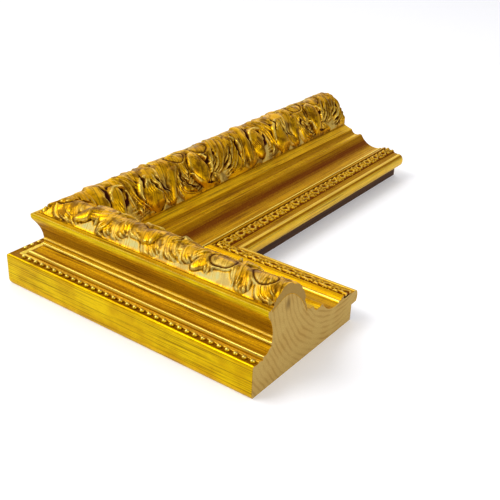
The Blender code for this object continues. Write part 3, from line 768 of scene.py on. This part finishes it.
def store(mesh, name, values):
    """Keep a value for each vertex, for the material to read."""
    layer = mesh.attributes.new(name, "FLOAT", "POINT")
    layer.data.foreach_set("value", np.asarray(values, dtype=np.float32))


def positions(mesh):
    """Every vertex's place as rows of x, y and z."""
    places = np.empty(len(mesh.vertices) * 3)
    mesh.vertices.foreach_get("co", places)
    return places.reshape(-1, 3)


def mesh_from(bm, name):
    """The mesh of a finished bmesh, with its faces turned outward."""
    bmesh.ops.recalc_face_normals(bm, faces=bm.faces)
    mesh = bpy.data.meshes.new(name)
    bm.to_mesh(mesh)
    bm.free()
    return mesh


def new_object(name, mesh, *materials):
    """An object in the scene for that mesh, with its materials."""
    item = bpy.data.objects.new(name, mesh)
    bpy.context.scene.collection.objects.link(item)
    for material in materials:
        mesh.materials.append(material)
    return item


def set_in_corner(mesh, direction):
    """Move a rail's own mesh, with x along the rail and y across it, to its place in the corner."""
    shift = Matrix.Translation((CORNER[0], CORNER[1], 0.0))
    if direction > 0:
        shift = shift @ Matrix(((0, 1, 0, 0), (1, 0, 0, 0), (0, 0, 1, 0), (0, 0, 0, 1)))
    mesh.transform(shift)
    if direction > 0:
        mesh.flip_normals()


def mitred_prism(name, outline, length):
    """A closed outline (u, z) in mm run along a rail from the mitre to its sawn end."""
    bm = bmesh.new()
    ends = []
    for at_mitre in (True, False):
        ring_verts = []
        for u, z in outline:
            s = u * MM + PIECE_GAP / math.sqrt(2) if at_mitre else length
            ring_verts.append(bm.verts.new((s, u * MM, z * MM)))
        ends.append(ring_verts)
    count = len(outline)
    for i in range(count):
        j = (i + 1) % count
        bm.faces.new((ends[0][i], ends[0][j], ends[1][j], ends[1][i]))
    bm.faces.new(ends[0])
    bm.faces.new(ends[1])
    return mesh_from(bm, name)


def moulding(side, direction, leaf, pine_end, pine_long, edge_leaf):
    """One rail: gilded over its show faces, bare on its back, in its rabbet and where it is sawn."""
    length = LENGTHS[side]
    stretches = moulding_outline()
    outline = [point for _, _, points in stretches for point in points]
    washes_and_shades = [wash_and_shade for wash_and_shade, _, points in stretches for _ in points]
    rubs_and_highlights = [rub_and_highlight for _, rub_and_highlight, points in stretches for _ in points]
    steps = np.hypot(*np.diff(np.array(outline), axis=0).T)
    girth = np.concatenate([[0.0], np.cumsum(steps)]) * MM
    mesh = mitred_prism(f"{side}_moulding", outline, length)
    spots = positions(mesh)
    store(mesh, "along", spots[:, 0])
    store(mesh, "around", np.tile(girth, 2))
    store(mesh, "hollow", np.tile(washes_and_shades, 2))
    store(mesh, "crown", np.tile(rubs_and_highlights, 2))
    wall = PROFILE_WIDTH - RABBET_WIDTH
    for face in mesh.polygons:
        middle = face.center
        under_lip = wall - TOUCH < middle.y < PROFILE_WIDTH - LIP_ROUND
        in_rabbet = under_lip and middle.z < RABBET_DEPTH + TOUCH
        if abs(face.normal.x) > 0.5:
            face.material_index = SAWN
        elif middle.z < TOUCH or in_rabbet:
            face.material_index = BARE
    gild_edge(mesh)
    set_in_corner(mesh, direction)
    item = new_object(f"{side}_moulding", mesh, leaf, pine_end, pine_long, edge_leaf)
    mesh.shade_smooth()
    mesh.set_sharp_from_angle(angle=math.radians(CRISP_MOULDING))
    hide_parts(f"{side}_rail")
    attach(item, "root")


def gild_edge(mesh):
    """Show the thickness of gesso and leaf as a thin rim round the sawn end."""
    bm = bmesh.new()
    bm.from_mesh(mesh)
    ends = [face for face in bm.faces if face.normal.x > 0.98 and face.material_index == SAWN]
    rim = bmesh.ops.inset_region(bm, faces=ends, thickness=SKIN, use_even_offset=False)["faces"]
    for face in rim:
        if face.calc_center_median().z > SKIN_FROM:
            face.material_index = RIM
    bm.to_mesh(mesh)
    bm.free()


def bead_row(side, direction, leaf):
    """The row of beads in its channel."""
    length = LENGTHS[side] / MM
    count = int((length - BEAD_FIRST - BEAD_RADIUS) / BEAD_PITCH) + 1
    bm = bmesh.new()
    for i in range(count):
        middle = Vector((BEAD_FIRST + i * BEAD_PITCH, *BEAD_LINE)) * MM
        bmesh.ops.create_uvsphere(bm, u_segments=BEAD_FACETS[0], v_segments=BEAD_FACETS[1],
                                  radius=BEAD_RADIUS * MM, matrix=Matrix.Translation(middle))
    mesh = mesh_from(bm, f"{side}_bead_row")
    spots = positions(mesh)
    store(mesh, "along", spots[:, 0])
    store(mesh, "around", spots[:, 2])
    # Painted shade darkens each bead's lower half and a painted highlight lightens its top
    rise = spots[:, 2] / MM - BEAD_LINE[1]
    store(mesh, "hollow", 0.8 * np.clip((0.6 - rise) / 1.2, 0.0, 1.0))
    store(mesh, "crown", np.clip((rise - 0.5) / 0.7, 0.0, 1.0))
    set_in_corner(mesh, direction)
    item = new_object(f"{side}_bead_row", mesh, leaf)
    mesh.shade_smooth()
    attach(item, "root")


# One repeat of the lace in mm (w, v): an almond eye, a small eye between leaflets, and knobs
# Leaves: start, end, bow, width, rise
LACE_LEAVES = (
    ((-5.4, 2.4), (1.6, 0.9), 0.9, 1.7, 1.15),
    ((-1.4, 0.8), (4.6, 2.4), 0.8, 1.6, 1.05),
    ((-4.8, 5.8), (1.0, 7.6), -0.8, 1.6, 1.1),
    ((0.4, 7.6), (5.2, 5.9), -0.8, 1.5, 1.05),
    ((4.4, 6.7), (8.4, 7.7), -0.4, 1.5, 1.0),
    ((4.8, 1.6), (8.6, 0.7), 0.5, 1.5, 1.05),
    ((5.0, 4.9), (8.8, 5.8), -0.3, 1.3, 1.05),
    ((-2.8, 3.6), (2.6, 3.0), 0.5, 1.1, 0.95),
)
# Rings round a pierced eye: centre, radii, rim, rise
LACE_RINGS = (
    ((0.2, 4.5), (3.7, 2.5), 0.85, 1.15),
    ((6.8, 3.3), (1.5, 1.4), 0.7, 1.05),
)
# Knobs: centre, radius, rise
LACE_KNOBS = (
    ((-4.9, 4.0), 0.9, 1.15),
    ((4.8, 4.2), 0.8, 1.0),
    ((6.6, 6.2), 0.8, 1.0),
    ((-3.2, 7.4), 0.7, 0.9),
    ((3.2, 0.6), 0.6, 0.8),
)


def lace_height(w, v):
    """Height in mm of the lace at w along the rail and v across it, and how far it is pierced there."""
    height = np.zeros(w.shape)
    opened = np.zeros(w.shape)
    v = v + 0.25 * np.sin(0.9 * w) + 0.15 * np.sin(0.37 * w + 1.0)
    w = w + 0.3 * np.sin(0.21 * w + 0.8 * v)
    first = math.floor(w.min() / LACE_PITCH) - 1
    last = math.ceil(w.max() / LACE_PITCH) + 1
    for turn in range(first, last + 1):
        x = w - turn * LACE_PITCH
        for start, end, bow, width, rise in LACE_LEAVES:
            height = np.maximum(height, band(x, v, start, end, bow, width, rise))
        for centre, radii, rim, rise in LACE_RINGS:
            reach = np.hypot((x - centre[0]) / radii[0], (v - centre[1]) / radii[1])
            wall = dome((reach - 0.8) * min(radii) / rim)
            height = np.maximum(height, rise * wall)
            opened = np.maximum(opened, np.clip((0.68 - reach) / 0.25, 0.0, 1.0))
        for centre, radius, rise in LACE_KNOBS:
            height = np.maximum(height, rise * dome(np.hypot(x - centre[0], v - centre[1]) / radius))
    return LACE_RISE * height * (1 - opened), opened


def blurred(values, order, shape, passes):
    """Vertex values averaged a number of times with their neighbours on a grid of that shape."""
    grid = values[order].reshape(shape)
    for _ in range(passes):
        padded = np.pad(grid, 1, mode="edge")
        grid = (padded[:-2, 1:-1] + padded[2:, 1:-1] + padded[1:-1, :-2] + padded[1:-1, 2:] + grid) / 5
    soft = np.empty_like(values)
    soft[order] = grid.reshape(-1)
    return soft


def carved_strip(name, cells, surface, sink):
    """A closed strip with a carved top and sides that run down to the height sink.

    surface takes each vertex's share of the way along and across, from 0 to 1, and the order and
    shape that lay the vertices out as a grid. It returns their places in mm, the brush's way over
    them, and how far each is washed and painted with shade, rubbed and painted with highlight, and bare.
    """
    bm = bmesh.new()
    bmesh.ops.create_grid(bm, x_segments=cells[0], y_segments=cells[1], size=0.5)
    mesh = bpy.data.meshes.new(name)
    bm.to_mesh(mesh)
    bm.free()
    flat = positions(mesh)
    order = np.lexsort((flat[:, 0], flat[:, 1]))
    shape = (cells[1] + 1, cells[0] + 1)
    places, along, around, wash_and_shade, rub_and_highlight, bare = surface(flat[:, 0] + 0.5, flat[:, 1] + 0.5, order, shape)
    mesh.vertices.foreach_set("co", (places * MM).reshape(-1))
    store(mesh, "along", along * MM)
    store(mesh, "around", around * MM)
    store(mesh, "hollow", wash_and_shade)
    store(mesh, "crown", rub_and_highlight)
    store(mesh, "ground", bare)
    bm = bmesh.new()
    bm.from_mesh(mesh)
    rim = [edge for edge in bm.edges if edge.is_boundary]
    grown = bmesh.ops.extrude_edge_only(bm, edges=rim)["geom"]
    for vert in grown:
        if isinstance(vert, bmesh.types.BMVert):
            vert.co.z = sink * MM
    bottom = [edge for edge in grown if isinstance(edge, bmesh.types.BMEdge)]
    bmesh.ops.edgeloop_fill(bm, edges=bottom)
    bmesh.ops.recalc_face_normals(bm, faces=bm.faces)
    bm.to_mesh(mesh)
    bm.free()
    return mesh


def lace(side, direction, leaf, phase):
    """The pressed lace band that stands on its sunk ground beside the sight edge."""
    length = LENGTHS[side] / MM
    first, last = LACE_SPAN
    width = last - first

    def surface(share, across, order, shape):
        u = first + width * across
        start = u + PIECE_GAP / MM
        s = start * (1 - share) + length * share
        height, opened = lace_height(s - LACE_FIRST - phase, u - first)
        edge = np.clip(np.minimum(u - first, last - u) / LACE_RUN_OUT, 0.0, 1.0)
        height = blurred(height * edge, order, shape, 1)
        soft = blurred(height, order, shape, LACE_SOFT_PASSES)
        ground = LACE_GROUND[0] * (1 - across) + LACE_GROUND[1] * across + LACE_LIFT
        ground += LACE_SWELL * dome(2 * across - 1)
        # Painted shade darkens the low places, the sunk ground and the pierced eyes, and painted highlights
        # lie on the raised places
        low = np.clip((soft - height) / 0.5, 0.0, 1.0)
        wash_and_shade = 0.25 + 0.7 * low + 0.5 * np.clip(1 - height / 0.4, 0.0, 1.0) + 0.5 * opened
        rub_and_highlight = 0.7 * np.clip((height - soft) / 0.35, 0.0, 1.0)
        places = np.stack([s, u, ground + height], 1)
        return places, s, u, np.clip(wash_and_shade, 0.0, 1.0), rub_and_highlight, np.zeros(len(s))

    cells = (round((length - first) / LACE_CELL), round(width / LACE_CELL))
    mesh = carved_strip(f"{side}_lace", cells, surface, LACE_FLOOR)
    set_in_corner(mesh, direction)
    item = new_object(f"{side}_lace", mesh, leaf)
    mesh.shade_smooth()
    mesh.set_sharp_from_angle(angle=math.radians(CRISP_CARVING))
    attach(item, "root")


def cut_to_space(item, space):
    """Cut an object down to what lies inside the space, and give the mesh that is left."""
    tool = new_object(space.name, space)
    cutting = item.modifiers.new("crest space", "BOOLEAN")
    cutting.operation = "INTERSECT"
    cutting.solver = "EXACT"
    cutting.object = tool
    bpy.context.view_layer.update()
    result = item.evaluated_get(bpy.context.evaluated_depsgraph_get())
    shaped = bpy.data.meshes.new_from_object(result)
    item.modifiers.clear()
    item.data = shaped
    bpy.data.objects.remove(tool)
    return shaped


def crest(side, direction, leaf, cut_face):
    """The cast leaf ornament over the arch, cut at the mitre and the sawn end with its rail."""
    length = LENGTHS[side] / MM
    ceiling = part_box(f"{side}_crest")[1][2] / MM

    def surface(share, across, order, shape):
        spots = np.linspace(0.0, 1.0, len(ARCH))
        u = np.interp(across, spots, ARCH[:, 0])
        z = np.interp(across, spots, ARCH[:, 1])
        slope_u = np.interp(across, spots, np.gradient(ARCH[:, 0]))
        slope_z = np.interp(across, spots, np.gradient(ARCH[:, 1]))
        steep = np.hypot(slope_u, slope_z)
        s = (u - CREST_MARGIN) * (1 - share) + (length + CREST_MARGIN) * share
        outside = np.maximum(u - s, s - length)
        fade = np.clip((CREST_MARGIN - outside) / (CREST_MARGIN - RELIEF_FADE), 0.0, 1.0)
        y = across * ARCH_LENGTH
        carved, opened = relief_height(direction * s, y)
        carved *= fade
        height = blurred(carved, order, shape, 1)
        soft = blurred(carved, order, shape, CREST_SOFT_PASSES)
        wide = blurred(carved, order, shape, CREST_WIDE_PASSES)
        # Brown wash with painted shade lies in the hollows and cuts, crests are rubbed and carry painted
        # highlights, and flat ground stays bare
        hollow = np.clip((soft - height - 0.05) / 0.38, 0.0, 1.0)
        sunk = np.clip((wide - height - 0.4) / 1.4, 0.0, 1.0)
        wash_and_shade = np.maximum(hollow * (0.55 + 0.60 * sunk), 0.95 * opened * fade)
        rub_and_highlight = np.clip((height - soft - 0.05) / 0.4, 0.0, 1.0) * np.clip(height - wide + 1.0, 0.0, 1.0)
        bare = np.clip(1.4 - soft / 0.9, 0.0, 1.0) * np.clip(1 - hollow * 2, 0.0, 1.0)
        bare *= np.clip((s - u) / GROUND_FROM_MITRE, 0.0, 1.0) * np.clip((y - 0.8) / 1.5, 0.0, 1.0)
        bare *= np.interp(y, GROUND_Y, GROUND_BARE)
        # The carving stands square to the arch
        out = u - height * slope_z / steep
        up = np.minimum(z + height * slope_u / steep, ceiling)
        # The crest's brush strokes lie over the arch, along its leaves
        return np.stack([s, out, up], 1), y, s + 0.4 * y, np.clip(wash_and_shade, 0.0, 1.0), rub_and_highlight, bare

    cells = (round((length + CREST_MARGIN) / CREST_CELL), round(ARCH_LENGTH / CREST_CELL))
    mesh = carved_strip(f"{side}_leaf_crest", cells, surface, CREST_FLOOR)
    space = mitred_prism(f"{side} crest space", envelope_outline(), LENGTHS[side])
    set_in_corner(mesh, direction)
    set_in_corner(space, direction)
    item = new_object(f"{side}_leaf_crest", mesh, leaf, cut_face)
    shaped = cut_to_space(item, space)
    axis = 0 if direction < 0 else 1
    sawn = CORNER[axis] + LENGTHS[side]
    for face in shaped.polygons:
        at_end = face.normal[axis] > 0.98 and abs(face.center[axis] - sawn) < 2 * TOUCH
        face.material_index = SAWN if at_end else SHOW
    shaped.shade_smooth()
    shaped.set_sharp_from_angle(angle=math.radians(CRISP_CARVING))
    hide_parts(f"{side}_crest")
    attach(item, "root")


def studio():
    """A pale floor, a dim room with one pale wall, a soft key from the left and a side light."""
    material, tree, shader = new_material("pale studio paper")
    shader.inputs["Base Color"].default_value = linear("#EEEEF2")
    shader.inputs["Roughness"].default_value = 0.9
    shader.inputs["Emission Color"].default_value = linear("#FFFFFF")
    shader.inputs["Emission Strength"].default_value = 0.16
    bm = bmesh.new()
    bmesh.ops.create_grid(bm, x_segments=1, y_segments=1, size=FLOOR_REACH)
    floor = new_object("studio_floor", mesh_from(bm, "studio_floor"), material)
    world = bpy.data.worlds.new("soft room")
    world.use_nodes = True
    room = world.node_tree
    way = add(room, "ShaderNodeTexCoord").outputs["Generated"]
    # A pale wall low at the back left, in a dim room
    facing = add(room, "ShaderNodeVectorMath", {1: WALL_WAY}, {0: way}, operation="DOT_PRODUCT")
    pale = add(room, "ShaderNodeMapRange",
               {"From Min": WALL_EDGE, "To Min": ROOM_GLOW[0], "To Max": ROOM_GLOW[1]},
               {"Value": facing.outputs["Value"]}).outputs[0]
    sky = room.nodes["Background"]
    sky.inputs["Color"].default_value = linear("#FFFFFF")
    room.links.new(pale, sky.inputs["Strength"])
    bpy.context.scene.world = world
    for name, spot, size, power in LIGHTS:
        light = bpy.data.lights.new(name, "AREA")
        light.energy = power
        light.size = size
        lamp = bpy.data.objects.new(name, light)
        lamp.location = spot
        lamp.rotation_euler = (Vector(LIGHT_AIM) - Vector(spot)).to_track_quat("-Z", "Y").to_euler()
        bpy.context.scene.collection.objects.link(lamp)


def camera():
    """The camera at the photograph's viewing angle."""
    data = bpy.data.cameras.new("photo_view")
    data.sensor_width = CAMERA_SENSOR
    data.lens = CAMERA_LENS
    data.clip_start = 0.01
    item = bpy.data.objects.new("photo_view", data)
    turn = Matrix.Rotation(math.radians(CAMERA_YAW), 4, "Z")
    tilt = Matrix.Rotation(math.radians(90 - CAMERA_PITCH), 4, "X")
    roll = Matrix.Rotation(math.radians(CAMERA_ROLL), 4, "Z")
    item.matrix_world = Matrix.Translation(CAMERA_PLACE) @ turn @ tilt @ roll
    bpy.context.scene.collection.objects.link(item)
    bpy.context.scene.camera = item


def dress():
    """Every visible piece of the corner."""
    rail_leaf = gilding("gold leaf on gessoed pine", "#E6C60E", "#BC8A08", "#6A2800", "#F4E08C",
                        wash_and_shade=0.92, roughness=0.42, mottling=0.0)
    # The crest's wash colour is near black: wash, and painted shade for its deep cuts and undercuts
    crest_leaf = gilding("gold leaf on cast composition", "#E4B010", "#B0760A", "#3C0E00", "#F6DC78",
                         wash_and_shade=1.0, roughness=0.40, mottling=0.85)
    edge_leaf = gilding("gold leaf and gesso seen edge on", "#C9A048", "#9A7430", "#6A4C1C", "#E4CC8C",
                        wash_and_shade=0.4, roughness=0.6, mottling=0.0)
    pine_long = planed_pine()
    cut_face = composition()
    for axis, (side, direction) in enumerate(RAILS.items()):
        pine_end = sawn_pine(f"sawn pine end grain, {side}", axis, RESIN_MARKS[side])
        moulding(side, direction, rail_leaf, pine_end, pine_long, edge_leaf)
        bead_row(side, direction, rail_leaf)
        lace(side, direction, rail_leaf, LACE_PHASES[side])
        crest(side, direction, crest_leaf, cut_face)


camera()
studio()
dress()
bpy.context.scene.view_settings.view_transform = "Standard"
bpy.context.scene.view_settings.look = "Medium High Contrast"
